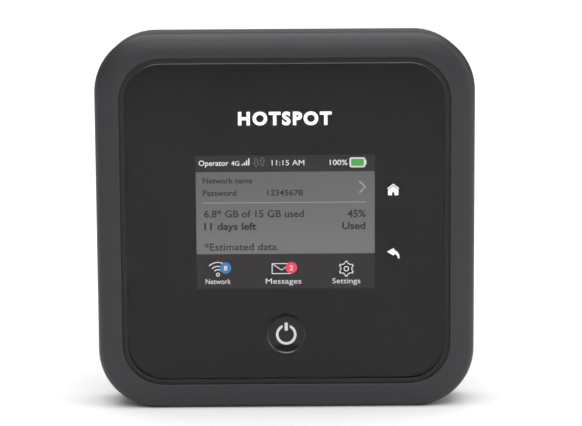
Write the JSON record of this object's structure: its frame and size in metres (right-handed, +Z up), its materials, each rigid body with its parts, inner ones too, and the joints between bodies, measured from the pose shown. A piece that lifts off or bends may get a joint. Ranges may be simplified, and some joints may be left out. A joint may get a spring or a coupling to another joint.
{
  "type": "mobile hotspot",
  "caption": "Flat square battery-powered mobile hotspot standing on its lower edge, with a framed display, a power button, jacks below and a clip-on battery door behind.",
  "frame": {"origin": "centre of the footprint, on the surface that the hotspot stands on", "axes": "+Z up, +X to the right and -Y towards the person reading the display"},
  "size_m": [0.105, 0.0216, 0.105],
  "materials": {
    "bezel_plastic": "fine satin grain, dark grey",
    "shell_plastic": "fine satin grain, dark grey",
    "lens": "clear, polished",
    "black_print": "opaque ink film",
    "tape": "black adhesive foam",
    "display": "lit display glass",
    "tray": "pressed sheet",
    "flex": "amber film",
    "connector": "ivory moulding",
    "light_guide": "milky white, lit",
    "led": "clear package",
    "button": "polished black",
    "switch": "black",
    "switch_stem": "red",
    "chassis": "die cast",
    "brass": "turned",
    "board": "green solder mask",
    "can": "tinned sheet",
    "chip": "epoxy package",
    "pad": "soft thermal pad",
    "spreader": "rolled sheet",
    "gold": "gilded",
    "label": "printed film, blank",
    "battery": "fine grain",
    "foam": "closed-cell foam",
    "jack_steel": "folded sheet",
    "jack_plastic": "black moulding",
    "jack_brass": "turned, gilded",
    "bead": "white insulator",
    "cap_rubber": "soft, dark grey",
    "carrier": "moulded",
    "foil": "copper foil",
    "screw": "blackened"
  },
  "bodies": {
    "housing": {"front_bezel": "bezel_plastic", "middle_frame": "shell_plastic", "port_plate": "shell_plastic", "battery_tray": "shell_plastic", "cover_lens": "lens", "lens_print": "black_print", "lens_tape": "tape", "display_gasket": "tape", "display_panel": "display", "display_backlight": "tray", "display_flex": "flex", "flex_connector": "connector", "battery_terminal": "connector", "key_guides": "light_guide", "key_leds": "led", "switch_body": "switch", "chassis_plate": "chassis", "board_spacers": "brass", "thread_inserts": "brass", "main_board": "board", "modem_can": "can", "memory_can": "can", "radio_can": "can", "power_can": "can", "sim_socket": "can", "modem_chip": "chip", "memory_chip": "chip", "radio_chip": "chip", "power_chip": "chip", "can_pads": "pad", "heat_spreader": "spreader", "terminal_springs": "gold", "ethernet_contacts": "gold", "usb_contacts": "gold", "antenna_pins": "gold", "bay_label": "label", "ethernet_shell": "jack_steel", "usb_shell": "jack_steel", "ethernet_insert": "jack_plastic", "usb_tongue": "jack_plastic", "antenna_jack_left": "jack_brass", "antenna_jack_right": "jack_brass", "antenna_cores": "bead", "side_carrier_left": "carrier", "side_carrier_right": "carrier", "top_carrier_left": "carrier", "top_carrier_right": "carrier", "antenna_foils": "foil", "housing_screws": "screw", "board_screws": "screw"},
    "power_button": {"power_button": "button", "power_icon": "light_guide", "switch_stem": "switch_stem"},
    "battery_door": {"battery_door": "shell_plastic", "door_pad": "foam"},
    "battery": {"battery_pack": "battery", "battery_label": "label", "battery_contacts": "gold"},
    "cap_left": {"port_cap_left": "cap_rubber"},
    "cap_right": {"port_cap_right": "cap_rubber"}
  },
  "joints": [
    {"name": "button_press", "type": "slide", "parent": "housing", "child": "power_button", "axis": [0, 1, 0], "range_m": [0, 0.00035], "stiffness_N_per_m": 3000},
    {"name": "door_off", "type": "slide", "parent": "housing", "child": "battery_door", "axis": [0, 1, 0], "range_m": [0, 0.03]},
    {"name": "battery_out", "type": "slide", "parent": "housing", "child": "battery", "axis": [0, 1, 0], "range_m": [0, 0.015]},
    {"name": "cap_left_open", "type": "hinge", "parent": "housing", "child": "cap_left", "pos_m": [-0.0339, 0.00007, 0.00075], "axis": [0, 1, 0], "range_deg": [0, 95]},
    {"name": "cap_right_open", "type": "hinge", "parent": "housing", "child": "cap_right", "pos_m": [0.0339, 0.00007, 0.00075], "axis": [0, -1, 0], "range_deg": [0, 95]}
  ],
  "couplings": [
    {"joint": "battery_out", "follows": "door_off", "ratio": 0.5}
  ]
}
